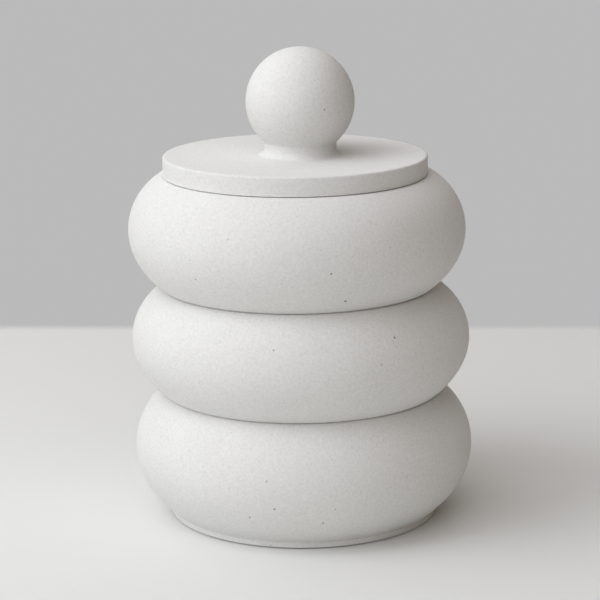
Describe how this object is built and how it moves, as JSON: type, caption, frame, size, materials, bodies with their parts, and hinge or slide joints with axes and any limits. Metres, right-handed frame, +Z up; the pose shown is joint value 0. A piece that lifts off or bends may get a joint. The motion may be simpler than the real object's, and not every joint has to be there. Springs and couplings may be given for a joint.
{
  "type": "stacking pyxis box",
  "caption": "Round lidded ceramic box made of stacked bowls swelling in soft rolls, with a flat lid and a ball knob.",
  "frame": {"origin": "middle of the base tier's foot, on the surface that the box stands on", "axes": "+Z up along the stack, +X to the right in the pictured view, +Y away from the viewer"},
  "size_m": [0.1227, 0.1216, 0.1684],
  "materials": {
    "stoneware": "matte, unglazed, fine sandy grain with a few pinholes"
  },
  "bodies": {
    "base_tier": {"base_tier": "stoneware"},
    "middle_tier": {"middle_tier": "stoneware"},
    "top_tier": {"top_tier": "stoneware"},
    "lid": {"lid": "stoneware", "knob": "stoneware"}
  },
  "joints": [
    {"name": "middle_tier_lift", "type": "slide", "parent": "base_tier", "child": "middle_tier", "axis": [0, 0, 1], "range_m": [0, 0.1]},
    {"name": "top_tier_lift", "type": "slide", "parent": "middle_tier", "child": "top_tier", "axis": [0, 0, 1], "range_m": [0, 0.1]},
    {"name": "lid_lift", "type": "slide", "parent": "top_tier", "child": "lid", "axis": [0, 0, 1], "range_m": [0, 0.1]}
  ]
}
